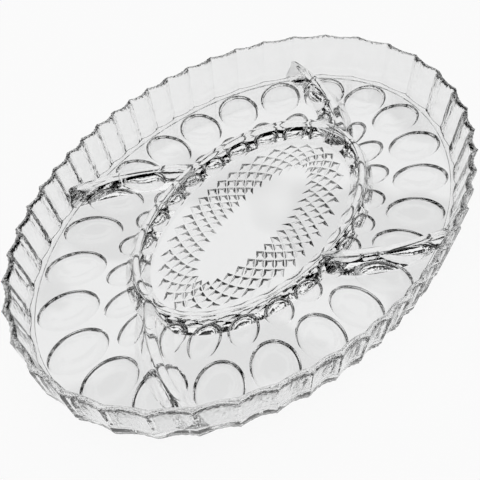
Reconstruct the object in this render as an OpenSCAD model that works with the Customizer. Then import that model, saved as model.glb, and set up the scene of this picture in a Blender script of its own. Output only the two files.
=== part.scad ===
// Oval five-part relish tray of clear pressed glass.
// The long axis lies along X, and the tray stands on the plane z = 0.
// The real tray is one pressing. Each node is one region of it, and the regions
// meet face to face at the creases where the mould changes form.

/* [Tray] */
// Length over the outer points of the rim
tray_l = 320; // [280:1:360]
// Width over the outer points of the rim
tray_w = 220; // [200:1:240]
// Height from the table to the top of the rim
tray_h = 29; // [26:0.5:34]

/* [Fluted wall] */
// Number of flutes round the outer wall
flutes = 48; // [40:4:56]
// Depth of a flute at the rim
flute_rim_d = 3.2; // [2:0.1:3.6]
// Depth of a flute at the foot
flute_foot_d = 2.4; // [1.5:0.1:2.8]
// How far the rim stands out past the foot
flare = 6.6; // [5:0.1:9]
// Glass thickness of the wall at a point between two flutes
wall_t = 4.2; // [4:0.1:6]
// Depth of the soft panels on the inside of the wall
panel_d = 1.2; // [0.8:0.1:1.6]
// Rounding of the rim's outer edge
lip_r = 0.9; // [0.5:0.1:1.3]
// Rounding of the rim's inner edge
lip_in_r = 1.8; // [1:0.1:2]
// Width of the cove where the wall turns into the floor
cove_w = 1.8; // [1.5:0.1:4]
// Height of the cove above the floor
cove_h = 4.5; // [3:0.1:6]

/* [Floor] */
// Height of the foot under the wall
foot_h = 1.2; // [1:0.1:2]
// Thickness of the floor
floor_t = 4; // [3.4:0.1:5]
// Number of thumbprints in each of the two rows
prints = 24; // [20:4:28]
// Depth of a thumbprint in the underside
print_d = 2; // [0.8:0.1:2.2]
// Plain glass left between neighbouring thumbprints
print_gap = 1.5; // [1:0.1:4]
// Plain glass between the thumbprints and the wall
print_edge = 0.8; // [0.6:0.1:3]
// Radial length of an outer thumbprint at the ends of the tray
print_end_l = 34.5; // [30:0.5:35]
// Radial length of an outer thumbprint at the sides of the tray
print_side_l = 33; // [28:0.5:33.5]
// Radial length of a small thumbprint at the ends of the tray
small_print_end_l = 29; // [18:0.5:29.5]
// Radial length of a small thumbprint at the sides of the tray
small_print_side_l = 16.5; // [12:0.5:17]

/* [Centre] */
// Length of the centre compartment at its floor
centre_l = 156; // [140:1:164]
// Width of the centre compartment at its floor
centre_w = 86; // [78:1:92]
// Number of diamonds in each row of the band under the middle
diamonds = 36; // [28:4:40]
// Rows of diamonds in the band
diamond_rows = 5; // [3:1:5]
// Radial distance from one row of diamonds to the next
row_step = 4.2; // [3.8:0.1:4.4]
// Distance from the centre wall to the first row, at the ends of the oval
band_end_inset = 6; // [5:0.1:8]
// Distance from the centre wall to the first row, at its sides
band_side_inset = 8.4; // [6:0.1:9]
// Depth that a diamond is pressed into the underside
diamond_d = 1.2; // [0.6:0.1:1.4]

/* [Ribs] */
// Width of the centre wall and of a rib's ends where they meet the floor
rib_foot_w = 13.5; // [11:0.5:15]
// Width of a rib's foot halfway along it
rib_mid_w = 17.5; // [14:0.5:22]
// Width of their rounded top
rib_top_w = 3.4; // [2.5:0.1:5]
// Height of their top above the floor
rib_h = 9.3; // [7:0.1:12]
// Angle round the tray at which the end ribs leave the centre wall
end_rib_in_deg = -7; // [-9:1:0]
// Angle round the tray at which the end ribs reach the outer wall
end_rib_out_deg = 21; // [14:1:24]
// Angle round the tray at which the side ribs leave the centre wall
side_rib_in_deg = 76; // [70:1:84]
// Angle round the tray at which the side ribs reach the outer wall
side_rib_out_deg = 111; // [102:1:114]
// How far the end ribs bow out sideways
end_rib_bow = 7; // [4:0.5:8]
// How far the side ribs bow out sideways
side_rib_bow = 5; // [4:0.5:8]

/* [Hidden] */

// Distance that a diamond's cutter reaches past the underside
cut_over = 0.1;
// Steps that draw one flute
flute_steps = 5;
// Steps along each side of a thumbprint's cell
cell_steps = 4;
// Share of a thumbprint's size at the ring between its edge and its middle
print_ring_share = 0.86;
// Share of its depth at that ring
print_ring_depth_share = 0.7;
// Lengthwise steps of a rib
rib_steps = 8;
// Steps that close in on the place where a rib's corner meets a wall
meet_steps = 12;
// Share of a cell of the lattice that a diamond fills
diamond_fill_share = 0.92;
// Half widths of a rib from its foot to its top, as shares from top width to foot width
rib_width_shares = [1, 0.67, 0.38, 0.14, 0];
// Heights that go with them, as shares of the rib's height
rib_height_shares = [0, 0.23, 0.45, 0.68, 0.9];
// Share of the top's half width that stays level
rib_crown_share = 0.5;
// Share of the wall height where the straight part of the inside starts
panel_low_share = 0.45;
// Share of the cove's width and height at its middle
cove_width_share = 0.35;
cove_height_share = 0.25;
// Share of the panel depth that is left at the cove
panel_low_depth_share = 0.6;
// Inset of the thumbprint row's centres that keeps them even along the oval, in degrees
print_ease_deg = 7;
diamond_ease_deg = 10;

floor_z = foot_h + floor_t;
rim_a = tray_l / 2;
rim_b = tray_w / 2;
foot_a = rim_a - flare;
foot_b = rim_b - flare;
// Inside edge of the wall at the floor
well_a = foot_a - wall_t - cove_w;
well_b = foot_b - wall_t - cove_w;
centre_a = centre_l / 2;
centre_b = centre_w / 2;
// Middle line of the centre wall
ring_a = centre_a + rib_foot_w / 2;
ring_b = centre_b + rib_foot_w / 2;
// Middle line of the first row of diamonds
band_a = centre_a - band_end_inset;
band_b = centre_b - band_side_inset;

glass = [0.86, 0.88, 0.89];
glass_dim = [0.78, 0.81, 0.83];

// Distance from the middle to an oval with half axes a and b, at angle t
function oval_r(a, b, t) = a * b / sqrt(pow(b * cos(t), 2) + pow(a * sin(t), 2));

function at(r, t) = [r * cos(t), r * sin(t)];

// Angle round the tray of print step k on an oval, eased so that the steps stay even along it
function print_deg(k, a, b) =
    let (s = 360 * (k / prints - floor(k / prints)), t = s + print_ease_deg * sin(2 * s))
    atan2(b * sin(t), a * cos(t));

// Corner of an oval's outline at print step k
function oval_at(a, b, k) = let (t = print_deg(k, a, b)) at(oval_r(a, b, t), t);

// Corners of an oval's outline, the same count for every oval
function oval(a, b) = [for (i = [0 : prints * cell_steps - 1]) oval_at(a, b, i / cell_steps)];

// Arch over the stretch from 0 to 1: 0 at both ends, 1 in the middle
function arch(u) = 4 * u * (1 - u);

// Inward dip of a flute at angle t: 0 on its two points, 1 in its middle
function dip(t) = arch(t * flutes / 360 - floor(t * flutes / 360 + 1e-9));

// Radius of the wall's outside at angle t and height z
function outside_r(t, z) =
    let (up = min(1, z / (tray_h - lip_r)),
         depth = flute_foot_d + (flute_rim_d - flute_foot_d) * up)
    oval_r(foot_a + flare * up, foot_b + flare * up, t) - depth * dip(t);

// Radius of the wall's inside at angle t and height z, with a share of the panel depth
function inside_r(t, z, share) =
    let (up = z / tray_h)
    oval_r(foot_a + flare * up - wall_t, foot_b + flare * up - wall_t, t)
    - panel_d * share * dip(t);

// Section of the wall at angle t, from the foot's outside over the rim to the floor
function wall_section(t) =
    let (low_z = tray_h * panel_low_share, cove_z = floor_z + cove_h,
         well = oval_r(well_a, well_b, t),
         cove_r = inside_r(t, cove_z, panel_low_depth_share))
    [[outside_r(t, foot_h), foot_h],
     [outside_r(t, tray_h - lip_r), tray_h - lip_r],
     [outside_r(t, tray_h) - lip_r, tray_h],
     [inside_r(t, tray_h, 1) + lip_in_r, tray_h],
     [inside_r(t, tray_h - lip_in_r, 1), tray_h - lip_in_r],
     [inside_r(t, low_z, 1), low_z],
     [cove_r, cove_z],
     [well + (cove_r - well) * cove_width_share, floor_z + cove_h * cove_height_share],
     [well, floor_z],
     [well, foot_h]];

// Skin over a row of sections with the same count of corners. ends lists the faces of the
// last end, which the first end repeats the other way round; without ends the row is a loop
module skin(rows, ends = []) {
    n = len(rows);
    m = len(rows[0]);
    sides = [for (i = [0 : len(ends) == 0 ? n - 1 : n - 2], j = [0 : m - 1])
             let (k = (i + 1) % n, l = (j + 1) % m)
             each [[i * m + j, k * m + l, k * m + j], [i * m + j, i * m + l, k * m + l]]];
    near = [for (face = ends) [for (i = [len(face) - 1 : -1 : 0]) face[i]]];
    far = [for (face = ends) [for (i = face) (n - 1) * m + i]];
    polyhedron(points = [for (row = rows) each row], faces = concat(sides, near, far),
               convexity = 10);
}

// Corners of a section placed at angle t
function placed(section, t) = [for (p = section) [p[0] * cos(t), p[0] * sin(t), p[1]]];

// Stretch of the outer wall from one flute point to another, counted from +X
module wall_run(from, to) {
    rows = [for (i = [from * flute_steps : to * flute_steps])
            let (t = 360 * i / (flutes * flute_steps)) placed(wall_section(t), t)];
    skin(rows, [[for (j = [0 : len(rows[0]) - 1]) j]]);
}

// Section of a rib as [offset from its middle line, height], from one foot to the other
function rib_half() =
    [for (i = [0 : len(rib_width_shares) - 1])
     [(rib_top_w + (rib_foot_w - rib_top_w) * rib_width_shares[i]) / 2,
      floor_z + rib_h * rib_height_shares[i]]];

function rib_section() =
    let (half = rib_half(), n = len(half), crown = rib_top_w * rib_crown_share / 2)
    concat([for (p = half) p],
           [[crown, floor_z + rib_h], [-crown, floor_z + rib_h]],
           [for (i = [n - 1 : -1 : 0]) [-half[i][0], half[i][1]]]);

// Radius of the wall's drawn inside at angle t and height z
function inside_at(t, z) =
    let (section = wall_section(t))
    lookup(z, [for (i = [8 : -1 : 4]) [section[i][1], section[i][0]]]);

// Distance along a rib at which its corner with offset o and height z meets the wall's
// inside, closed in on step by step
function meet(start, dir, o, z, u, steps = meet_steps) =
    let (p = start + dir * u + [dir[1], -dir[0]] * o,
         gap = norm(p) - inside_at(atan2(p[1], p[0]), z))
    steps == 0 ? u : meet(start, dir, o, z, u - gap * norm(p) / (p * dir), steps - 1);

// Inner end of the ribs: the outside of the centre wall, filled in
module rib_end_cut() {
    half = rib_half();
    low = floor_z - cut_over;
    high = floor_z + rib_h + cut_over;
    crown = rib_top_w * rib_crown_share / 2;
    levels = concat([[crown, high], [crown, floor_z + rib_h]],
                    [for (i = [len(half) - 1 : -1 : 0]) half[i]],
                    [[half[0][0], low]]);
    n = prints * cell_steps;
    skin([for (p = levels)
          [for (i = [0 : n - 1])
           let (q = oval_at(ring_a + p[0], ring_b + p[0], i / cell_steps)) [q[0], q[1], p[1]]]],
         [[for (i = [0 : n - 1]) i]]);
}

// Rib from the centre wall at one angle to the outer wall at another. Its lines start on the
// middle line of the centre wall, then bow and spread out sideways between their ends
module rib(in_deg, out_deg, bow) {
    start = at(oval_r(ring_a, ring_b, in_deg), in_deg);
    stop = at(oval_r(well_a, well_b, out_deg), out_deg);
    run = norm(stop - start);
    dir = (stop - start) / run;
    across = [dir[1], -dir[0]];
    section = rib_section();
    ends = [for (outer = [false, true])
            [for (p = section)
             let (u = outer ? meet(start, dir, p[0], p[1], run) : 0,
                  q = start + dir * u + across * p[0])
             [q[0], q[1], p[1]]]];
    m = len(section);
    spread = (rib_mid_w - rib_foot_w) / rib_foot_w;
    difference() {
        skin([for (i = [0 : rib_steps])
              [for (j = [0 : m - 1])
               let (p = ends[0][j] + (ends[1][j] - ends[0][j]) * i / rib_steps,
                    side = arch(i / rib_steps) * (bow + spread * section[j][0]) * across)
               [p[0] + side[0], p[1] + side[1], p[2]]]],
             [for (j = [0 : m / 2 - 2]) each [[j, j + 1, m - 2 - j], [j, m - 2 - j, m - 1 - j]]]);
        rib_end_cut();
    }
}

// Corners of a cell that holds the thumbprint at step k, between two ovals, taken round it
function cell_edge(k, out, in) =
    let (side = function (o, i, s, share)
             oval_at(o[0], o[1], k + s) * (1 - share) + oval_at(i[0], i[1], k + s) * share)
    concat([for (i = [0 : cell_steps - 1]) side(out, in, i / cell_steps - 0.5, 0)],
           [for (i = [0 : cell_steps - 1]) side(out, in, 0.5, i / cell_steps)],
           [for (i = [0 : cell_steps - 1]) side(out, in, 0.5 - i / cell_steps, 1)],
           [for (i = [cell_steps : -1 : 1]) side(out, in, -0.5, i / cell_steps)]);

// Points of that cell seen from below: its edge, two rings of the print and its deepest point
function cell_points(k, out, in, mid, lengths) =
    let (t = print_deg(k, mid[0], mid[1]),
         r = oval_r(mid[0], mid[1], t),
         length = lengths[1] + (lengths[0] - lengths[1]) * pow(r * cos(t) / mid[0], 2),
         turn = print_deg(k + 0.5, mid[0], mid[1]) - print_deg(k - 0.5, mid[0], mid[1]),
         width = r * ((turn + 360) % 360) * PI / 180 - print_gap,
         n = 4 * cell_steps,
         dish = function (share, depth)
             [for (i = [0 : n - 1])
              let (u = 360 * i / n - 45,
                   x = r + length / 2 * share * cos(u),
                   y = width / 2 * share * sin(u))
              [x * cos(t) - y * sin(t), x * sin(t) + y * cos(t), foot_h + depth]])
    concat([for (p = cell_edge(k, out, in)) [p[0], p[1], foot_h]],
           dish(1, 0),
           dish(print_ring_share, print_d * print_ring_depth_share),
           [[r * cos(t), r * sin(t), foot_h + print_d]]);

// Faces of such a cell whose points start at the count given
function cell_faces(start) =
    let (n = 4 * cell_steps)
    [for (ring = [0 : 1], i = [0 : n - 1])
     let (a = start + ring * n + i, b = start + ring * n + (i + 1) % n)
     each [[a, b + n, a + n], [a, b, b + n]]];

// Faces between two rings of n points that start at the counts given
function ring_faces(a, b, n) =
    [for (i = [0 : n - 1]) let (j = (i + 1) % n) each [[a + i, b + i, b + j], [a + i, b + j, a + j]]];

// Faces of its print's middle
function cell_lid(start) =
    let (n = 4 * cell_steps)
    [for (i = [0 : n - 1]) [start + 2 * n + i, start + 2 * n + (i + 1) % n, start + 3 * n]];

// Middle of diamond k in row i of the band
function diamond_at(i, k) =
    let (s = 360 * (k + (i % 2) / 2) / diamonds, t = s + diamond_ease_deg * sin(2 * s))
    [(band_a - i * row_step) * cos(t), (band_b - i * row_step) * sin(t)];

// Cutter for a diamond, a pyramid that points up between its four neighbours
module diamond(i, k) {
    mid = diamond_at(i, k);
    step = (diamond_at(i, k + 0.5) - diamond_at(i, k - 0.5)) * diamond_fill_share / 2;
    across = [-step[1], step[0]] / norm(step) * row_step * diamond_fill_share;
    grow = (diamond_d + cut_over) / diamond_d;
    base = [for (c = [step, across, -step, -across]) mid + c * grow];
    polyhedron(points = concat([for (c = base) [c[0], c[1], foot_h - cut_over]],
                               [[mid[0], mid[1], foot_h + diamond_d]]),
               faces = [[0, 1, 2, 3], [1, 0, 4], [2, 1, 4], [3, 2, 4], [0, 3, 4]]);
}

module foot_rim() {
    n = flutes * flute_steps;
    color(glass_dim)
        linear_extrude(foot_h)
            difference() {
                polygon([for (i = [0 : n - 1]) let (t = 360 * i / n) at(outside_r(t, foot_h), t)]);
                polygon(oval(well_a, well_b));
            }
}

module outer_floor() {
    well = [well_a, well_b];
    middle = [centre_a, centre_b];
    lengths = [print_end_l, print_side_l];
    small_lengths = [small_print_end_l, small_print_side_l];
    large = [for (i = [0 : 1]) well[i] - print_edge - lengths[i] / 2];
    small = [for (i = [0 : 1]) middle[i] + (print_gap + small_lengths[i]) / 2];
    between = [for (i = [0 : 1]) large[i] - (lengths[i] + print_gap) / 2];
    cells = concat([for (k = [0 : prints - 1]) cell_points(k, well, between, large, lengths)],
                   [for (k = [0 : prints - 1])
                    cell_points(k + 0.5, between, middle, small, small_lengths)]);
    size = len(cells[0]);
    n = prints * cell_steps;
    rings = [for (o = [well, middle], z = [foot_h, floor_z], p = oval(o[0], o[1]))
             [p[0], p[1], z]];
    start = len(cells) * size;
    color(glass)
        polyhedron(points = concat([for (c = cells) each c], rings),
                   faces = concat([for (i = [0 : len(cells) - 1])
                                   each concat(cell_faces(i * size), cell_lid(i * size))],
                                  ring_faces(start, start + n, n),
                                  ring_faces(start + n, start + 3 * n, n),
                                  ring_faces(start + 3 * n, start + 2 * n, n)),
                   convexity = 10);
}

module centre_floor() {
    color(glass)
        difference() {
            translate([0, 0, foot_h])
                linear_extrude(floor_t)
                    polygon(oval(centre_a, centre_b));
            for (i = [0 : diamond_rows - 1], k = [0 : diamonds - 1])
                diamond(i, k);
        }
}

module centre_wall() {
    color(glass)
        skin([for (i = [0 : prints * cell_steps - 1])
              [for (p = rib_section())
               let (q = oval_at(ring_a + p[0], ring_b + p[0], i / cell_steps)) [q[0], q[1], p[1]]]]);
}

module rib_right() { color(glass_dim) rib(end_rib_in_deg, end_rib_out_deg, end_rib_bow); }

module rib_rear() { color(glass_dim) rib(side_rib_in_deg, side_rib_out_deg, side_rib_bow); }

module rib_left() { rotate([0, 0, 180]) rib_right(); }

module rib_front() { rotate([0, 0, 180]) rib_rear(); }

// A quarter of the wall, between two joints of the press mould
module wall_quarter(k) { wall_run(flutes / 4 * k, flutes / 4 * (k + 1)); }

module wall_right_rear() { color(glass) wall_quarter(0); }

module wall_left_rear() { color(glass) wall_quarter(1); }

module wall_left_front() { color(glass) wall_quarter(2); }

module wall_right_front() { color(glass) wall_quarter(3); }

foot_rim();
outer_floor();
centre_floor();
centre_wall();
rib_right();
rib_rear();
rib_left();
rib_front();
wall_right_rear();
wall_left_rear();
wall_left_front();
wall_right_front();
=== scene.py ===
# %% [markdown]
# # An oval relish tray in pressed glass
# The real tray is one pressing of clear glass: a low oval dish with a fluted wall, an oval
# compartment in the middle and four compartments round it, parted by slanting ribs. Everything
# that makes it sparkle sits in its shape: flutes in the wall, two rows of thumbprints under the
# floor, and a band of small cut points under the middle. So this lesson is mostly about modelling,
# and the material is plain clear glass with faint ripples.
#
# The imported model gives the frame: the places and boxes of the tray's nodes. Every size below that
# the frame knows is read from it, so the two can't drift apart.

import math

import bmesh
import bpy
import numpy as np
from mathutils import Matrix, Vector
from mathutils.geometry import delaunay_2d_cdt


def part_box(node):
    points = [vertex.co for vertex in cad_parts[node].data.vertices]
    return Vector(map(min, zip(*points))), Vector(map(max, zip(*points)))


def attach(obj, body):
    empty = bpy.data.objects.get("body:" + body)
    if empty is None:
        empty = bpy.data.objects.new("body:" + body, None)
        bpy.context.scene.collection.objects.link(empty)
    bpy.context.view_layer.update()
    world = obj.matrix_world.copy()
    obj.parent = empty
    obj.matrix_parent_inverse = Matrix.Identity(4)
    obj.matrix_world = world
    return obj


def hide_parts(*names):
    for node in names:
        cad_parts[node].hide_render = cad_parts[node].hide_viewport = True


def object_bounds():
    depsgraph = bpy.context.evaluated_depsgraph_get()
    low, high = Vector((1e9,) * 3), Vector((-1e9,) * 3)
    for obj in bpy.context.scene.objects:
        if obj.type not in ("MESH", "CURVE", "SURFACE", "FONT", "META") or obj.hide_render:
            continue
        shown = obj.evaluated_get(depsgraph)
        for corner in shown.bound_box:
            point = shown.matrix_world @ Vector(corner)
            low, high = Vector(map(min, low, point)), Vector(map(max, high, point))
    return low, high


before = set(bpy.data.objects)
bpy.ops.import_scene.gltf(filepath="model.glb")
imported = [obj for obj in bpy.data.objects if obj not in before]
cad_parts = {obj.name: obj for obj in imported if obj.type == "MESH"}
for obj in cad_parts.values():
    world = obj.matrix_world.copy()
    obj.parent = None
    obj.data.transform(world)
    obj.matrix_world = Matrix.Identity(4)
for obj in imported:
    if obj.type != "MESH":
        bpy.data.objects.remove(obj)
cad_low, cad_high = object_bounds()
MM = 0.001
print("nodes:", ", ".join(sorted(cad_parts)))
print("box in mm:", [round(v / MM, 1) for v in (*cad_low, *cad_high)])

# %% [markdown]
# ## The camera
# The photograph looks down on the tray from beside one of its ends, near enough for some
# perspective. A camera could be placed by its position and three angles, but these are hard to
# judge by eye. So it is built from the point it looks at, its direction, its distance and a small
# roll, which a person can change one at a time.

# %% Values of the camera
VIEW_TARGET = Vector((-16.9, -1.4, 4.0)) * MM
VIEW_TURN = math.radians(-54.26)
VIEW_RISE = math.radians(44.85)
VIEW_ROLL = math.radians(-3.49)
VIEW_DISTANCE = 526.4 * MM
LENS = 72.1
CLIP_START = 10 * MM
print("camera", round(VIEW_DISTANCE / MM), "mm from its target")


# %% Camera
def photo_camera():
    """A camera at the photograph's place, looking at its target."""
    away = Vector((math.cos(VIEW_RISE) * math.sin(VIEW_TURN),
                   -math.cos(VIEW_RISE) * math.cos(VIEW_TURN),
                   math.sin(VIEW_RISE)))
    right = Vector((math.cos(VIEW_TURN), math.sin(VIEW_TURN), 0.0))
    up = away.cross(right)
    side = right * math.cos(VIEW_ROLL) + up * math.sin(VIEW_ROLL)
    top = up * math.cos(VIEW_ROLL) - right * math.sin(VIEW_ROLL)
    data = bpy.data.cameras.new("camera")
    data.lens = LENS
    data.clip_start = CLIP_START
    made = bpy.data.objects.new("camera", data)
    turn = Matrix((side, top, away)).transposed().to_4x4()
    made.matrix_world = Matrix.Translation(VIEW_TARGET + away * VIEW_DISTANCE) @ turn
    bpy.context.scene.collection.objects.link(made)
    bpy.context.scene.camera = made
    return made


camera = photo_camera()
print("camera at", [round(v, 3) for v in camera.matrix_world.translation])

# %% [markdown]
# ## The table
# The tray stands on a white sheet. Clear glass shows only what stands round it, so most of what is
# seen in the tray is this white. Plain white card under soft light renders as a pale grey. More
# light would brighten the glass as well, so instead the card looks mostly white to the camera, in
# reflections and through the glass, and stays ordinary card for everything else.


# %% Two helpers for node trees
def calculate(tree, operation, first, second):
    """A math node on two inputs, each a number or a socket; returns its output."""
    node = tree.nodes.new("ShaderNodeMath")
    node.operation = operation
    for slot, value in zip(node.inputs, (first, second)):
        if isinstance(value, float):
            slot.default_value = value
        else:
            tree.links.new(value, slot)
    return node.outputs[0]


def fade(tree, value, low, high):
    """A node that turns a value into 0 at low, 1 at high and a slope between."""
    node = tree.nodes.new("ShaderNodeMapRange")
    node.inputs["From Min"].default_value = low
    node.inputs["From Max"].default_value = high
    tree.links.new(value, node.inputs["Value"])
    return node.outputs["Result"]


print("node helpers:", calculate.__name__, fade.__name__)

# %% White card
CARD_WHITE = 0.97
CARD_GLOW = 0.92


def white_card():
    """White card that is mostly plain white to the camera, to gloss and through the glass."""
    card = bpy.data.materials.new("table_white")
    card.use_nodes = True
    tree = card.node_tree
    shader = tree.nodes["Principled BSDF"]
    shader.inputs["Base Color"].default_value = (CARD_WHITE, CARD_WHITE, CARD_WHITE, 1)
    shader.inputs["Roughness"].default_value = 1.0
    shader.inputs["Specular IOR Level"].default_value = 0.0
    glow = tree.nodes.new("ShaderNodeEmission")
    blend = tree.nodes.new("ShaderNodeMixShader")
    path = tree.nodes.new("ShaderNodeLightPath").outputs
    seen = calculate(tree, "MAXIMUM", path["Is Camera Ray"], path["Is Glossy Ray"])
    seen = calculate(tree, "MAXIMUM", seen, path["Is Transmission Ray"])
    share = calculate(tree, "MULTIPLY", seen, CARD_GLOW)
    tree.links.new(share, blend.inputs[0])
    tree.links.new(shader.outputs[0], blend.inputs[1])
    tree.links.new(glow.outputs[0], blend.inputs[2])
    tree.links.new(blend.outputs[0], tree.nodes["Material Output"].inputs["Surface"])
    return card


CARD = white_card()
print("card:", CARD.name)

# %% Table
TABLE_HALF = 6.0
TABLE_DROP = 0.1 * MM


def table():
    """A wide white floor just under the foot of the tray."""
    mesh = bpy.data.meshes.new("table")
    corners = [(-TABLE_HALF, -TABLE_HALF), (TABLE_HALF, -TABLE_HALF),
               (TABLE_HALF, TABLE_HALF), (-TABLE_HALF, TABLE_HALF)]
    mesh.from_pydata([(x, y, -TABLE_DROP) for x, y in corners], [], [(0, 1, 2, 3)])
    mesh.materials.append(CARD)
    top = bpy.data.objects.new("table", mesh)
    bpy.context.scene.collection.objects.link(top)
    return top


table()
print("table", 2 * TABLE_HALF, "m wide")

# %% [markdown]
# ## The room
# Most dark lines and speckles in clear glass are images of dark places in the room, bent into thin
# shapes. Lamps over the tray can't give these, because they add light but nothing dark. So the
# world itself is the room: a bright ceiling straight above, light and dark patches lower down, and
# a dark horizon. It is tied to the tray and not to the camera, so it stays in place in every view.
# The camera itself sees plain white behind the table. The very darkest lines in the wall are light
# that bounces in the glass more often than the render follows, and the room can't change those.

# %% World
LIGHT_ABOVE = 1.08
LIGHT_ROOM = 0.012
PATCH_SCALE = 9
PATCH_DETAIL = 1.0
PATCH_EDGE = (0.49, 0.54)
CEILING = (0.82, 0.92)
HORIZON = (0.45, 0.58)


def studio_world():
    """A bright ceiling, a room with light and dark patches under it, and a dark horizon."""
    world = bpy.data.worlds.new("studio")
    bpy.context.scene.world = world
    world.use_nodes = True
    tree = world.node_tree
    way = tree.nodes.new("ShaderNodeTexCoord").outputs["Generated"]
    split = tree.nodes.new("ShaderNodeSeparateXYZ")
    tree.links.new(way, split.inputs[0])
    rise = split.outputs["Z"]
    patch = tree.nodes.new("ShaderNodeTexNoise")
    patch.inputs["Scale"].default_value = PATCH_SCALE
    patch.inputs["Detail"].default_value = PATCH_DETAIL
    tree.links.new(way, patch.inputs["Vector"])
    patches = fade(tree, patch.outputs["Fac"], *PATCH_EDGE)
    room = calculate(tree, "MULTIPLY", patches, fade(tree, rise, *HORIZON))
    bright = calculate(tree, "MAXIMUM", room, fade(tree, rise, *CEILING))
    lit = calculate(tree, "MULTIPLY", bright, LIGHT_ABOVE)
    level = calculate(tree, "MAXIMUM", lit, LIGHT_ROOM)
    path = tree.nodes.new("ShaderNodeLightPath").outputs
    level = calculate(tree, "MAXIMUM", level, path["Is Camera Ray"])
    back = tree.nodes["Background"]
    back.inputs["Color"].default_value = (1, 1, 1, 1)
    tree.links.new(level, back.inputs["Strength"])
    return world


studio_world()
bpy.context.scene.view_settings.view_transform = "Standard"
print("world:", bpy.context.scene.world.name, "with a light of", LIGHT_ABOVE, "above")

# %% [markdown]
# ## Clear glass
# Pressed glass is glossy and very slightly wavy, because the hot glass shrinks from the mould as it
# cools. Its grey is partly a faint tint of its own and partly painted shade, which darkens all that
# is seen through the glass as the shade under the tray does. A Principled shader with full
# transmission carries the glass, and a noise that only tilts the surface, as bump, carries the
# waves. They are so low that modelling them would cost many faces for little. The noise is
# stretched by three lengths in mm, so one material can be blotchy, streaked upright or speckled.

# %% Glass with ripples
# Both greys are darker than clear glass: a faint grey of the glass's own plus painted shade for the
# shade under and round the tray
FLOOR_GREY_AND_SHADE = (0.855, 0.858, 0.858, 1)
WALL_GREY_AND_SHADE = (0.88, 0.882, 0.882, 1)
GLASS_IOR = 1.52
WALL_IOR = 1.45
RIPPLE_DETAIL = 2.0


def clear_glass(name, grey_and_shade, ripple, height, ior=GLASS_IOR):
    """Clear glass with ripples: their size along x, y and z in mm, and their height in mm."""
    glass = bpy.data.materials.new(name)
    glass.use_nodes = True
    nodes = glass.node_tree.nodes
    links = glass.node_tree.links
    shader = nodes["Principled BSDF"]
    # Base colour: the glass's faint grey plus painted shade, which darkens what is seen through it
    shader.inputs["Base Color"].default_value = grey_and_shade
    shader.inputs["Roughness"].default_value = 0.0
    shader.inputs["IOR"].default_value = ior
    shader.inputs["Transmission Weight"].default_value = 1.0
    place = nodes.new("ShaderNodeTexCoord")
    stretch = nodes.new("ShaderNodeMapping")
    stretch.inputs["Scale"].default_value = [1 / (size * MM) for size in ripple]
    wave = nodes.new("ShaderNodeTexNoise")
    wave.inputs["Scale"].default_value = 1.0
    wave.inputs["Detail"].default_value = RIPPLE_DETAIL
    bump = nodes.new("ShaderNodeBump")
    bump.inputs["Distance"].default_value = height * MM
    links.new(place.outputs["Object"], stretch.inputs["Vector"])
    links.new(stretch.outputs["Vector"], wave.inputs["Vector"])
    links.new(wave.outputs["Fac"], bump.inputs["Height"])
    links.new(bump.outputs["Normal"], shader.inputs["Normal"])
    return glass


print("glass bends light by", GLASS_IOR, "and in the wall by", WALL_IOR)

# %% [markdown]
# Four finishes come from it. The floor is nearly flat. The wall has upright streaks, and its rim,
# which is often melted smooth after pressing, is the most uneven. The ribs and the centre wall have
# small low ripples, which break what they show into speckles. Higher ripples there would only make
# the glass look hazy.
#
# The wall's glass bends light a little less than real glass does. That is a choice and not
# a measured value: it keeps the flutes about as pale as in the photograph.

# %% The four finishes
PLAIN = clear_glass("pressed_glass", FLOOR_GREY_AND_SHADE, (38, 38, 38), 0.02)
STREAKED = clear_glass("pressed_glass_streaked", WALL_GREY_AND_SHADE, (2.0, 2.0, 7.0), 0.18, WALL_IOR)
BEADED = clear_glass("pressed_glass_rim", WALL_GREY_AND_SHADE, (1.5, 1.5, 1.5), 0.5, WALL_IOR)
RIPPLED = clear_glass("pressed_glass_rippled", WALL_GREY_AND_SHADE, (2.0, 2.0, 2.0), 0.10)
print("finishes:", PLAIN.name, STREAKED.name, BEADED.name, RIPPLED.name)

# %% [markdown]
# ## Inner joins
# The real tray is one solid. This one is built in regions that touch face to face, and light has to
# cross from one to the next as it does inside one pressing. Left as glass, the hidden faces would
# mirror and bend it, so they get a fully transparent material of their own.


# %% Inner join
def inner_join():
    """The faces inside the glass where two regions meet: light passes as if they weren't there."""
    join = bpy.data.materials.new("inner_join")
    join.use_nodes = True
    nodes = join.node_tree.nodes
    nodes.remove(nodes["Principled BSDF"])
    clear = nodes.new("ShaderNodeBsdfTransparent")
    join.node_tree.links.new(clear.outputs[0], nodes["Material Output"].inputs["Surface"])
    return join


JOIN = inner_join()
print("inner faces:", JOIN.name)

# %% [markdown]
# ## Skins from rows of points
# Each region is a closed skin. It could be cut from a block with booleans, but these leave long
# thin faces that show as scratches in glass. Nearly all of a skin is a grid instead: rows of points
# that a formula places, joined by four-sided faces. Grids are collected first, and the edges that
# they share are welded at the end, which keeps the code of every region short.

# %% A skin that grids and faces are added to
SKIN, INNER, RIM = 0, 1, 2


class Skin:
    """Points and faces of one region, and the material slot of each face."""

    def __init__(self):
        self.points = []
        self.faces = []
        self.slots = []

    def add(self, points, faces, slot=SKIN):
        """Adds faces that count from the first of the given points."""
        start = len(self.points)
        self.points += [tuple(map(float, p)) for p in points]
        self.faces += [[start + i for i in face] for face in faces]
        self.slots += [slot] * len(faces)

    def grid(self, rows, slot=SKIN, loop=False):
        """Adds the faces between rows of points; loop joins a row's last point to its first."""
        rows = np.asarray(rows)
        count, width = rows.shape[:2]
        last = width if loop else width - 1
        faces = [[i * width + j, i * width + (j + 1) % width,
                  (i + 1) * width + (j + 1) % width, (i + 1) * width + j]
                 for i in range(count - 1) for j in range(last)]
        self.add(rows.reshape(-1, 3), faces, slot)


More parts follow.
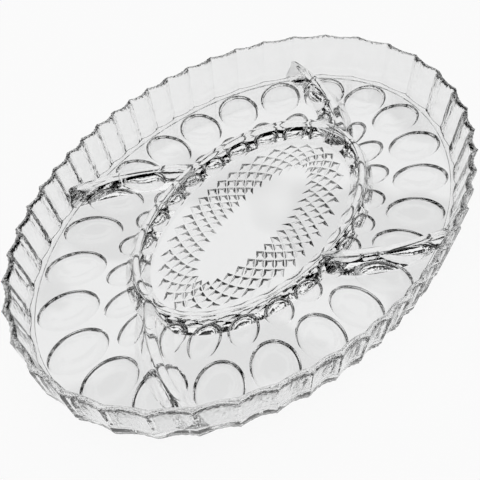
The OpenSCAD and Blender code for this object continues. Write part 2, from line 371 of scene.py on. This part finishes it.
print("slots: outside", SKIN, "inner join", INNER, "rim", RIM)

# %% [markdown]
# A finished skin becomes an object that rides on the frame's only body and stands in for one of its
# nodes. Its count of open edges is printed, and has to be 0, because glass bends light rightly only
# in a closed mesh.

# %% From a skin to a piece
WELD = 0.002 * MM
CREASE = math.radians(28)


def make_piece(skin, node, glass=PLAIN):
    """Welds a skin into a closed mesh object that stands for a node of the frame."""
    mesh = bpy.data.meshes.new(node + "_glass")
    mesh.from_pydata(skin.points, [], skin.faces)
    mesh.polygons.foreach_set("material_index", skin.slots)
    work = bmesh.new()
    work.from_mesh(mesh)
    bmesh.ops.remove_doubles(work, verts=work.verts, dist=WELD)
    bmesh.ops.dissolve_degenerate(work, edges=work.edges, dist=WELD)
    bmesh.ops.recalc_face_normals(work, faces=work.faces)
    open_edges = sum(not edge.is_manifold for edge in work.edges)
    volume = work.calc_volume(signed=True)
    work.to_mesh(mesh)
    work.free()
    mesh.materials.append(glass)
    mesh.materials.append(JOIN)
    if RIM in skin.slots:
        mesh.materials.append(BEADED)
    mesh.polygons.foreach_set("use_smooth", [True] * len(mesh.polygons))
    mesh.set_sharp_from_angle(angle=CREASE)
    made = bpy.data.objects.new(node + "_glass", mesh)
    bpy.context.scene.collection.objects.link(made)
    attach(made, "root")
    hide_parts(node)
    print(made.name, len(mesh.polygons), "faces,", open_edges, "open edges,",
          round(volume / MM**3), "cubic mm")
    return made


print("points closer than", WELD / MM, "mm are welded")

# %% [markdown]
# ## Ovals
# The walls, rows and outlines of the tray are ovals round one middle. Two ways of walking round an
# oval are needed: by the angle seen from the middle, which the flutes follow, and by even steps
# along it, which the thumbprints follow. Exact even steps need an elliptic integral. A small push
# of the angle towards the sides of the oval comes out nearly as even, and is one line.

# %% Oval helpers
PRINTS = 24
PRINT_EASE = math.radians(7)


def oval_r(a, b, t):
    """Distance from the middle to an oval with half axes a and b, at angle t."""
    return a * b / np.hypot(b * np.cos(t), a * np.sin(t))


def even_angle(a, b, k):
    """Angle of step k out of 24 even steps round an oval."""
    s = 2 * np.pi * (np.asarray(k, float) / PRINTS)
    s = s + PRINT_EASE * np.sin(2 * s)
    return np.arctan2(b * np.sin(s), a * np.cos(s))


def even_ring(a, b, k, z):
    """Points of an oval at even steps k, at height z."""
    t = even_angle(a, b, k)
    r = oval_r(a, b, t)
    return np.stack([r * np.cos(t), r * np.sin(t), np.full_like(r, z)], axis=-1)


def upright(t, section):
    """Sections of [radius, height] turned to stand at angles t."""
    r, z = section[..., 0], section[..., 1]
    return np.stack([r * np.cos(t)[:, None], r * np.sin(t)[:, None], z], axis=-1)


print("steps round an oval:", PRINTS, "with a push of", round(math.degrees(PRINT_EASE)), "degrees")

# %% [markdown]
# ## Sizes of the tray
# Heights and outlines come from the boxes of the frame's nodes. The other values shape what a box
# can't tell: how far the wall flares, how thick it is, and how its rim is rounded, with a tight
# curve outside and a wide one inside.

# %% Sizes
TRAY_H = cad_high.z
RIM_A, RIM_B = cad_high.x, cad_high.y
FOOT_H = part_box("foot_rim")[1].z
FLOOR_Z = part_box("outer_floor")[1].z
WELL_A, WELL_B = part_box("outer_floor")[1].xy
CENTRE_A, CENTRE_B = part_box("centre_floor")[1].xy
FLARE = 6.6 * MM
WALL_T = 4.2 * MM
LIP_R = 0.9 * MM
LIP_IN_R = 2.4 * MM
LIP_Z = TRAY_H - LIP_R
print("floor at", round(FLOOR_Z / MM, 2), "mm, well", round(WELL_A / MM, 1), "by",
      round(WELL_B / MM, 1), "mm")

# %% [markdown]
# ## Flutes
# The wall's outside is pressed into 48 hollow flutes that meet in points. They could be cut with 48
# cylinders, but a radius that follows the angle gives them all in one smooth grid. An arch,
# repeated round the oval, makes the hollows. A share of a sine in it rounds the points off, as hot
# glass leaves them. The same arch, lower, makes the panels on the inside.

# %% Flutes
FLUTES = 48
SOFTNESS = 0.15
STEP_EPS = 1e-9


def flute_dip(t):
    """How far a flute is dipped at angle t: 0 on its two points, 1 in its middle."""
    u = t * FLUTES / (2 * np.pi)
    u = u - np.floor(u + STEP_EPS)
    arch = np.clip(4 * u * (1 - u), 0, 1)
    return SOFTNESS * np.sin(t * FLUTES / 2) ** 2 + (1 - SOFTNESS) * arch


def leaning(t, z, inset):
    """Radius of an oval that leans out with the wall, set in from the outer points."""
    up = z / LIP_Z
    a = RIM_A - FLARE * (1 - up) - inset
    b = RIM_B - FLARE * (1 - up) - inset
    return oval_r(a, b, t)


print("a flute is", round(360 / FLUTES, 1), "degrees wide")

# %% [markdown]
# ## Uneven glass
# The rim isn't a clean curve: the glass is drawn in a little here and there, and so is the edge of
# the foot. A few sines of different lengths round the tray, added up, give such an unevenness. They
# close up after a full turn, which a noise would not, and a seed keeps them the same in every run.

# %% Uneven glass
WAVE_COUNT = 9
WAVE_TURNS = (60, 330)
WAVE_LEAN = 900
WAVE_GAIN = 1.2
chance = np.random.default_rng(5)
WAVES = [(int(chance.integers(*WAVE_TURNS)), float(chance.uniform(0, 2 * np.pi)),
          float(chance.uniform(-WAVE_LEAN, WAVE_LEAN))) for _ in range(WAVE_COUNT)]


def uneven(t, z):
    """How far the glass is drawn in at a place, from 0 to 1."""
    total = sum(np.sin(turns * t + start + lean * z) for turns, start, lean in WAVES)
    return np.clip(0.5 + total / len(WAVES) * WAVE_GAIN, 0, 1)


print("waves round the tray:", [turns for turns, _, _ in WAVES])

# %% [markdown]
# ## Both sides of the wall
# The flutes are deepest at the rim, and at the foot the wall is cut back a little. Each of these
# follows the height by a short row of heights and amounts, which is easier to change than a
# formula.

# %% Outside and inside of the wall
BASE_TOP = 4.5 * MM
FACE_TOP = 15.0 * MM
LIP_LOW = 26.0 * MM
BASE_CUT = 0.8 * MM
FOOT_DIP, FACE_DIP, RIM_DIP = 2.0 * MM, 1.9 * MM, 2.4 * MM
BASE_UNEVEN, FACE_UNEVEN, LIP_UNEVEN = 0.4 * MM, 0.06 * MM, 0.5 * MM
PANEL_DIP = 1.2 * MM


def outside_r(t, z):
    """Radius of the wall's outside, with its flutes, its cut-back foot and its unevenness."""
    depth = np.interp(z, [FOOT_H, BASE_TOP, FACE_TOP, LIP_Z],
                      [FOOT_DIP, FACE_DIP, FACE_DIP, RIM_DIP])
    cut = np.interp(z, [FOOT_H, BASE_TOP], [BASE_CUT, 0])
    drawn = np.interp(z, [FOOT_H, BASE_TOP, FACE_TOP, LIP_LOW, LIP_Z],
                      [BASE_UNEVEN, FACE_UNEVEN, FACE_UNEVEN, FACE_UNEVEN, LIP_UNEVEN])
    return leaning(t, z, 0) - cut - depth * flute_dip(t) - drawn * uneven(t, z)


def inside_r(t, z):
    """Radius of the wall's inside, above the cove."""
    return leaning(t, z, WALL_T) - PANEL_DIP * flute_dip(t)


print("wall thickness on a point at the rim:",
      round(float(outside_r(0.0, LIP_Z) - inside_r(0.0, LIP_Z)) / MM, 1), "mm")

# %% [markdown]
# ## Section of the wall
# One cut through the wall runs up its outside, over the rim, down its inside and through a cove to
# the floor. Turning one section round, as on a lathe, can't give an oval wall with flutes. So every
# angle round the tray gets a section of its own with the same count of points, and neighbouring
# sections join into a grid.

# %% Section of the wall
SIDE_STEPS = 16
LIP_STEPS = 5
COVE_STEPS = 14
COVE_H = 4.5 * MM
# The first point on the inside, under the rim
INSIDE_FIRST = SIDE_STEPS + 2 * LIP_STEPS + 1


def wall_section(t):
    """Section of the wall at each angle, from the foot's outside over the rim to the well."""
    t = t[:, None]
    low = TRAY_H - LIP_IN_R
    cove_z = FLOOR_Z + COVE_H
    rise = np.linspace(FOOT_H, LIP_Z, SIDE_STEPS + 1)[None, :]
    turn = np.linspace(0, np.pi / 2, LIP_STEPS + 1)[None, 1:]
    back = turn - turn[:, :1]
    fall = np.linspace(low, cove_z, SIDE_STEPS + 1)[None, 1:]
    bend = np.linspace(0, np.pi / 2, COVE_STEPS + 1)[None, 1:]
    out_r = outside_r(t, LIP_Z)
    in_r = inside_r(t, low)
    cove_r = inside_r(t, cove_z)
    well = oval_r(WELL_A, WELL_B, t)
    same = np.ones_like(t)
    parts = [
        (outside_r(t, rise), same * rise),
        (out_r - LIP_R * (1 - np.cos(turn)), same * (LIP_Z + LIP_R * np.sin(turn))),
        (in_r + LIP_IN_R * (1 - np.sin(back)), same * (low + LIP_IN_R * np.cos(back))),
        (in_r, same * low),
        (inside_r(t, fall), same * fall),
        (cove_r + (well - cove_r) * (1 - np.cos(bend)),
         same * (FLOOR_Z + COVE_H * (1 - np.sin(bend)))),
        (well, same * FOOT_H),
    ]
    return np.concatenate([np.stack(np.broadcast_arrays(r, z), axis=-1) for r, z in parts],
                          axis=1)


print("points in a wall section:", wall_section(np.array([0.0])).shape[1])

# %% [markdown]
# ## The wall in quarters
# The side of such a press mould often opens in quarters, and the frame has the wall in quarters
# too, so it is made in four pieces that meet on the tray's axes. The top few millimetres take the
# rim's finish. The two ends and the faces on the well and the foot are inner joins.

# %% Four quarters of the wall
FLUTE_STEPS = 24
RIM_BAND = 4.0 * MM
QUARTERS = ["wall_right_rear", "wall_left_rear", "wall_left_front", "wall_right_front"]


def wall_quarter(node, first):
    """One quarter of the wall, starting at the given flute."""
    count = FLUTES // 4 * FLUTE_STEPS
    t = (first + np.arange(count + 1) / FLUTE_STEPS) * 2 * np.pi / FLUTES
    rows = upright(t, wall_section(t))
    band = np.flatnonzero(rows[0, :, 2] >= TRAY_H - RIM_BAND)
    up, down = band[0], band[-1]
    skin = Skin()
    skin.grid(rows[:, :up + 1])
    skin.grid(rows[:, up:down + 1], RIM)
    skin.grid(rows[:, down:-1])
    skin.grid(rows[:, -2:], INNER)
    skin.grid(rows[:, [-1, 0]], INNER)
    for end in (rows[0], rows[-1]):
        skin.add(end, [list(range(len(end)))], INNER)
    return make_piece(skin, node, STREAKED)


for quarter, node in enumerate(QUARTERS):
    wall_quarter(node, quarter * FLUTES // 4)

# %% [markdown]
# ## The foot
# Under the wall a flat ring stands on the table. It carries the flutes on down, and both its edges
# have a small bevel, because pressed glass has no knife edges. The wall's section could run down
# to the table instead, but the frame has the ring as a node of its own. It is one closed loop of a
# short section, so it needs no ends.

# %% Foot ring
BEVEL = 0.4 * MM
BEVEL_TURN = 0.3


def foot_rim():
    """The ring under the wall."""
    t = np.arange(FLUTES * FLUTE_STEPS + 1) / FLUTE_STEPS * 2 * np.pi / FLUTES
    out_r = outside_r(t, FOOT_H)
    well = oval_r(WELL_A, WELL_B, t)
    corners = [(out_r, FOOT_H), (out_r, BEVEL),
               (out_r - BEVEL * BEVEL_TURN, BEVEL * BEVEL_TURN), (out_r - BEVEL, 0),
               (well + BEVEL, 0), (well, BEVEL), (well, FOOT_H)]
    section = np.stack([np.stack([r, np.full_like(r, z)], axis=-1) for r, z in corners], axis=1)
    rows = upright(t, section)
    skin = Skin()
    skin.grid(rows)
    skin.grid(rows[:, [-1, 0]], INNER)
    return make_piece(skin, "foot_rim")


foot_rim()

# %% [markdown]
# ## One section for the ribs and the centre wall
# Both stand on the floor with wide hollow flanks and a narrow rounded top. They could be modelled
# each on their own, but then their flanks would cross at odd places. One function gives the section
# of both, so at any height a rib's flank meets the centre wall's flank at the same offset.

# %% Section of ribs and centre wall
RING_FOOT = (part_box("centre_wall")[1].x - CENTRE_A) / 2
RIB_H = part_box("centre_wall")[1].z - FLOOR_Z
RIB_TOP = 1.7 * MM
RIB_ROUND = 1.1 * MM
FLANK_STEPS = 10
FLANK_POWER = 1.4


def rib_section():
    """The section as [offset, height], from one foot over the top to the other."""
    h = np.linspace(0, 1, FLANK_STEPS + 1)
    flank = RIB_TOP + (RING_FOOT - RIB_TOP) * (1 - h) ** FLANK_POWER
    side = np.stack([flank, FLOOR_Z + (RIB_H - RIB_ROUND) * h], axis=-1)
    turn = np.linspace(0, np.pi / 2, LIP_STEPS + 1)[1:]
    crown = np.stack([RIB_TOP * np.cos(turn),
                      FLOOR_Z + RIB_H - RIB_ROUND * (1 - np.sin(turn))], axis=-1)
    half = np.concatenate([side, crown])
    return np.concatenate([half, half[-2::-1] * np.array([-1, 1])])


print("rib section:", len(rib_section()), "points, foot", round(2 * RING_FOOT / MM, 1), "mm wide")

# %% [markdown]
# ## The centre wall
# The low wall round the middle compartment is the section, swept round an oval by even steps. These
# are the steps of the thumbprints below it, so faces above and below line up.

# %% Centre wall
RING_A = CENTRE_A + RING_FOOT
RING_B = CENTRE_B + RING_FOOT
CELL_STEPS = 16


def centre_wall():
    """The oval wall round the middle compartment."""
    k = np.arange(PRINTS * CELL_STEPS + 1) / CELL_STEPS
    rows = np.stack([even_ring(RING_A + o, RING_B + o, k, z) for o, z in rib_section()], axis=1)
    skin = Skin()
    skin.grid(rows)
    skin.grid(rows[:, [-1, 0]], INNER)
    return make_piece(skin, "centre_wall", RIPPLED)


centre_wall()

# %% [markdown]
# ## Where a rib ends
# A rib runs from the centre wall to the outer wall, and both have curved flanks. So every line of
# the rib has its own ends. They are found by halving: a stretch that surely holds the end is cut in
# two again and again, and the half that holds it is kept. That works for any shape of wall, with no
# formula for where they meet. A rib reaches a hair into both walls, so that no film of air is left.

# %% Ends of a rib's lines
SEAT = 0.1 * MM
HALVINGS = 40


def inner_wall_r(t, z):
    """Radius of the outer wall's inside at angle t and height z, through the cove."""
    section = wall_section(np.array([t]))[0][INSIDE_FIRST:-1][::-1]
    return float(np.interp(z, section[:, 1], section[:, 0]))


def at_centre(t, z, offset):
    """Radius at which a line of a rib starts, just inside the centre wall."""
    return float(oval_r(RING_A + abs(offset), RING_B + abs(offset), t)) - SEAT


def at_wall(t, z, offset):
    """Radius at which a line of a rib ends, just inside the outer wall."""
    return inner_wall_r(t, z) + SEAT


def meet(start, way, offset, z, target, stretch):
    """Distance along a rib at which its line reaches the target radius."""
    across = np.array([way[1], -way[0]])
    low, high = stretch
    for _ in range(HALVINGS):
        middle = (low + high) / 2
        p = start + way * middle + across * offset
        if np.hypot(*p) < target(math.atan2(p[1], p[0]), z, offset):
            low = middle
        else:
            high = middle
    return middle


print("wall inside at 15 mm on the long axis:", round(inner_wall_r(0.0, 15 * MM) / MM, 1), "mm")

# %% [markdown]
# ## Bowed ribs
# The four ribs slant like the arms of a pinwheel and bow out a little to one side. Two shapes are
# enough, one for the tray's ends and one for its sides, because half a turn of the tray brings each
# onto the next of its kind. A course gives the angles at which a rib leaves the centre wall and
# meets the outer one, and its bow.

# %% Lines of a rib
RIB_STEPS = 24
RIB_SPREAD = 0.3
# Where the ends are searched, as shares of the way from wall to wall
START_STRETCH = np.array([-0.25, 0.5])
END_STRETCH = np.array([0.5, 1.3])
END_RIB = (math.radians(-7), math.radians(21), 7.0 * MM)
SIDE_RIB = (math.radians(76), math.radians(111), 5.0 * MM)


def on_oval(a, b, t):
    """Point of an oval at angle t, on the floor plan."""
    return float(oval_r(a, b, t)) * np.array([math.cos(t), math.sin(t)])


def rib_lines(course):
    """The lines of a rib from wall to wall, one for each point of its section."""
    inner, outer, bow = course
    start = on_oval(RING_A, RING_B, inner)
    stop = on_oval(WELL_A, WELL_B, outer)
    run = float(np.hypot(*(stop - start)))
    way = (stop - start) / run
    across = np.array([way[1], -way[0]])
    s = np.linspace(0, 1, RIB_STEPS + 1)[:, None]
    lines = []
    for offset, z in rib_section():
        a = meet(start, way, offset, z, at_centre, START_STRETCH * run)
        b = meet(start, way, offset, z, at_wall, END_STRETCH * run)
        side = offset + 4 * s * (1 - s) * (bow + RIB_SPREAD * offset)
        line = start + way * (a + (b - a) * s) + across * side
        lines.append(np.concatenate([line, np.full((RIB_STEPS + 1, 1), z)], axis=1))
    return np.array(lines)


print("a rib has", len(rib_section()), "lines of", RIB_STEPS + 1, "points")


# %% Four ribs
def rib(node, course, turn=0.0):
    """One rib, turned as a whole about the middle; returns its outline on the floor."""
    spin = np.array([[math.cos(turn), -math.sin(turn), 0], [math.sin(turn), math.cos(turn), 0],
                     [0, 0, 1]])
    rows = rib_lines(course) @ spin.T
    skin = Skin()
    skin.grid(rows)
    skin.grid(rows[[-1, 0]], INNER)
    half = len(rows) // 2
    for end in (0, -1):
        skin.grid(np.stack([rows[:half + 1, end], rows[:half - 1:-1, end]]))
    make_piece(skin, node, RIPPLED)
    return np.concatenate([rows[0], rows[-1][::-1]])[:, :2]


FOOTPRINTS = [rib("rib_right", END_RIB), rib("rib_rear", SIDE_RIB),
              rib("rib_left", END_RIB, math.pi), rib("rib_front", SIDE_RIB, math.pi)]

# %% [markdown]
# ## Thumbprints under the floor
# The underside of the floor has two rows of shallow oval dishes, which the mould presses in. From
# above, the steep far edge of each dish throws the light away and shows as a dark line, and that
# draws the pattern of the floor. So the depth and the steepness of the edge matter more than the
# rest. A high power of the distance from the middle gives a nearly flat dish with a steep edge.
#
# Bump could imitate the line, but not how the glass round it bends. Each print is modelled in its
# own cell of the floor instead. Rings of points run from the cell's edge to the middle of the dish,
# closest where it is steep, so that no face crosses the sharp edge of the print.

# %% Sizes of the prints
# Lengths are radial, first at the tray's ends, then at its sides
PRINT_L = np.array([34.5, 33.0]) * MM
SMALL_L = np.array([31.5, 17.5]) * MM
PRINT_GAP = 1.5 * MM
PRINT_EDGE = 0.8 * MM
PRINT_DEPTH = 2.2 * MM
PRINT_POWER = 7
PRINT_RINGS = (1.0, 0.98, 0.955, 0.93, 0.9, 0.87, 0.835, 0.79, 0.74, 0.67, 0.57, 0.42, 0.22)
WELL = np.array([WELL_A, WELL_B])
MIDDLE = np.array([CENTRE_A, CENTRE_B])
LARGE = WELL - PRINT_EDGE - PRINT_L / 2
SMALL = MIDDLE + (PRINT_GAP + SMALL_L) / 2
BETWEEN = LARGE - (PRINT_L + PRINT_GAP) / 2
print("large prints", PRINT_L / MM, "mm long, small", SMALL_L / MM, "mm")


# %% Edge of a cell
def cell_edge(k, outer, inner):
    """Points round the edge of the cell at step k, between two ovals."""
    s = np.arange(CELL_STEPS) / CELL_STEPS
    zero = np.zeros_like(s)

    def between(step, share):
        out = even_ring(*outer, k + step, FOOT_H)
        return out + (even_ring(*inner, k + step, FOOT_H) - out) * share[..., None]

    return np.concatenate([between(s - 0.5, zero), between(zero + 0.5, s),
                           between(0.5 - s, zero + 1), between(zero - 0.5, 1 - s)])


print("points round a cell:", len(cell_edge(0, WELL, BETWEEN)))


# %% One print in its cell
def print_cell(skin, k, outer, inner, middle, lengths):
    """Adds the cell at step k with its print, whose middle lies on the oval middle."""
    t = float(even_angle(*middle, k))
    r = float(oval_r(*middle, t))
    end = (r * math.cos(t) / middle[0]) ** 2
    length = lengths[0] * end + lengths[1] * (1 - end)
    turn = (even_angle(*middle, k + 0.5) - even_angle(*middle, k - 0.5)) % (2 * np.pi)
    width = r * float(turn) - PRINT_GAP
    count = 4 * CELL_STEPS
    # The first point of each ring faces the first corner of the cell
    u = 2 * np.pi * np.arange(count) / count - np.pi / 4
    rings = [cell_edge(k, outer, inner)]
    for share in PRINT_RINGS:
        x = r + length / 2 * share * np.cos(u)
        y = width / 2 * share * np.sin(u)
        z = FOOT_H + PRINT_DEPTH * (1 - share ** PRINT_POWER)
        rings.append(np.stack([x * math.cos(t) - y * math.sin(t),
                               x * math.sin(t) + y * math.cos(t), np.full_like(x, z)], axis=-1))
    skin.grid(rings, loop=True)
    top = (r * math.cos(t), r * math.sin(t), FOOT_H + PRINT_DEPTH)
    skin.add([*rings[-1], top], [[i, (i + 1) % count, count] for i in range(count)])


print("rings in a print:", len(PRINT_RINGS), "and", round(PRINT_DEPTH / MM, 1), "mm deep")

# %% [markdown]
# ## Flat faces with outlines in them
# The top of the floor is flat, but the centre wall and the ribs stand on parts of it, and those
# parts are inner joins. The flat face has to be divided exactly along their outlines, or a sliver
# of glass would mirror where none should be. A constrained triangulation does that: it keeps every
# edge that it is given.

# %% Flat faces divided along outlines
FLAT_EPS = 1e-7


def inside_loop(p, loop):
    """True if point p lies inside a closed outline."""
    x, y = loop[:, 0], loop[:, 1]
    nx, ny = np.roll(x, -1), np.roll(y, -1)
    crossed = (y > p[1]) != (ny > p[1])
    with np.errstate(divide="ignore", invalid="ignore"):
        at = x + (p[1] - y) * (nx - x) / (ny - y)
    return bool(np.count_nonzero(crossed & (p[0] < at)) % 2)


def flat(skin, z, loops, keep):
    """Adds a flat face at height z, divided along loops; keep gives a triangle's slot or None."""
    points, edges = [], []
    for loop in loops:
        start, count = len(points), len(loop)
        points += [Vector((float(p[0]), float(p[1]))) for p in loop]
        edges += [(start + i, start + (i + 1) % count) for i in range(count)]
    made, _, faces = delaunay_2d_cdt(points, edges, [], 0, FLAT_EPS)[:3]
    xyz = [(p.x, p.y, z) for p in made]
    for face in faces:
        middle = sum((made[i] for i in face), Vector((0, 0))) / len(face)
        slot = keep(middle)
        if slot is not None:
            skin.add([xyz[i] for i in face], [list(range(len(face)))], slot)


square = np.array([[0, 0], [1, 0], [1, 1], [0, 1]])
print("outline test:", inside_loop((0.5, 0.5), square), inside_loop((1.5, 0.5), square))

# %% [markdown]
# ## The floor of the side compartments
# It is a wide oval ring. Below are the cells of the two rows of prints, the inner row half a step
# on from the outer one, and above is the flat face. The outlines of the ribs are the ones that the
# ribs gave back when they were made, held a hair inside the floor's edge.

# %% Outer floor
FOOTPRINT_GAP = 0.03 * MM


def rib_feet(count):
    """Outlines of the ribs on the floor, kept inside its edge of count straight steps."""
    feet = []
    for foot in FOOTPRINTS:
        r = np.hypot(foot[:, 0], foot[:, 1])
        t = np.arctan2(foot[:, 1], foot[:, 0])
        limit = oval_r(WELL_A, WELL_B, t) * math.cos(math.pi / count) - FOOTPRINT_GAP
        feet.append(foot * (np.minimum(r, limit) / r)[:, None])
    return feet


def outer_floor():
    """The floor of the four side compartments, thumbprints and all."""
    skin = Skin()
    for k in range(PRINTS):
        print_cell(skin, k, WELL, BETWEEN, LARGE, PRINT_L)
        print_cell(skin, k + 0.5, BETWEEN, MIDDLE, SMALL, SMALL_L)
    k = np.arange(PRINTS * CELL_STEPS) / CELL_STEPS
    for oval in (WELL, MIDDLE):
        skin.grid([even_ring(*oval, k, FOOT_H), even_ring(*oval, k, FLOOR_Z)], INNER, loop=True)
    rim = even_ring(*WELL, k, FLOOR_Z)
    hole = even_ring(*MIDDLE, k, FLOOR_Z)
    ring = even_ring(RING_A + RING_FOOT, RING_B + RING_FOOT, k, FLOOR_Z)
    feet = rib_feet(len(k))

    def keep(p):
        if not inside_loop(p, rim) or inside_loop(p, hole):
            return None
        covered = inside_loop(p, ring) or any(inside_loop(p, foot) for foot in feet)
        return INNER if covered else SKIN

    flat(skin, FLOOR_Z, [rim, hole, ring, *feet], keep)
    return make_piece(skin, "outer_floor")


outer_floor()

# %% [markdown]
# ## Points under the middle
# Under the middle compartment an oval band of small diamonds surrounds a clear field. The band is a
# lattice: rows of diamonds, each row half a step on from the one before, so that they fill it with
# no gaps. Single pyramids could be cut out of a flat floor, but in a lattice neighbours share their
# corners, so the mesh closes by itself. Each diamond is pressed up into the glass. Seen from above,
# only its two far sides turn dark, and that draws the rows of small marks. A narrow flat ridge
# between neighbours keeps these marks apart.

# %% Lattice of the diamond band
DIAMONDS = 36
DIAMOND_ROWS = 5
ROW_STEP = 4.2 * MM
DIAMOND_EASE = math.radians(10)
BAND_END_INSET = 6.0 * MM
BAND_SIDE_INSET = 8.4 * MM
BAND_A = CENTRE_A - BAND_END_INSET
BAND_B = CENTRE_B - BAND_SIDE_INSET


def lattice(row, k):
    """Lattice point at step k of a row, on the underside."""
    s = 2 * np.pi * np.asarray(k, float) / DIAMONDS
    s = s + DIAMOND_EASE * np.sin(2 * s)
    a, b = BAND_A - row * ROW_STEP, BAND_B - row * ROW_STEP
    return np.stack([a * np.cos(s), b * np.sin(s), np.full_like(s, FOOT_H)], axis=-1)


print("the band has", DIAMONDS * DIAMOND_ROWS, "diamonds")

# %% One diamond
DIAMOND_DEPTH = 1.35 * MM
DIAMOND_POWER = 1.4
DIAMOND_SHARE = 0.91
DIAMOND_RINGS = (1.0, 0.93, 0.85, 0.75, 0.62, 0.45, 0.25)


def diamond(skin, row, k):
    """Adds the diamond at step k of a row, from its four corners up to its middle."""
    middle = lattice(row, k)
    corners = np.array([lattice(row, k - 0.5), lattice(row - 1, k),
                        lattice(row, k + 0.5), lattice(row + 1, k)])
    rings = [corners]
    for share in DIAMOND_RINGS:
        lift = np.array([0, 0, DIAMOND_DEPTH * (1 - share ** DIAMOND_POWER)])
        rings.append(middle + (corners - middle) * DIAMOND_SHARE * share + lift)
    skin.grid(rings, loop=True)
    top = middle + np.array([0, 0, DIAMOND_DEPTH])
    skin.add([*rings[-1], top], [[i, (i + 1) % 4, 4] for i in range(4)])


print("a diamond is", round(DIAMOND_DEPTH / MM, 2), "mm deep")

# %% [markdown]
# ## The floor of the middle
# Its underside is plain outside the band and inside it. The band's outlines are zigzags of
# diamond corners, and the flat faces on both sides are cut exactly to them, so that the skin
# closes.


# %% Centre floor
def zigzag(row, beyond):
    """An outline of the band: corners of a row's diamonds and of the row beyond, in turn."""
    steps = np.arange(2 * DIAMONDS) / 2
    on_row = (steps * 2) % 2 == (1 - row % 2) % 2
    return np.where(on_row[:, None], lattice(row, steps), lattice(beyond, steps))


def centre_floor():
    """The floor of the middle compartment with its diamond band."""
    k = np.arange(PRINTS * CELL_STEPS) / CELL_STEPS
    edge = even_ring(*MIDDLE, k, FOOT_H)
    skin = Skin()
    skin.grid([edge, even_ring(*MIDDLE, k, FLOOR_Z)], INNER, loop=True)
    skin.add(even_ring(*MIDDLE, k, FLOOR_Z), [list(range(len(k)))])
    for row in range(DIAMOND_ROWS):
        for step in np.arange(DIAMONDS) + row % 2 / 2:
            diamond(skin, row, step)
    outer = zigzag(0, -1)
    inner = zigzag(DIAMOND_ROWS - 1, DIAMOND_ROWS)

    def keep(p):
        around = inside_loop(p, edge) and not inside_loop(p, outer)
        return SKIN if around or inside_loop(p, inner) else None

    flat(skin, FOOT_H, [edge, outer, inner], keep)
    return make_piece(skin, "centre_floor")


centre_floor()
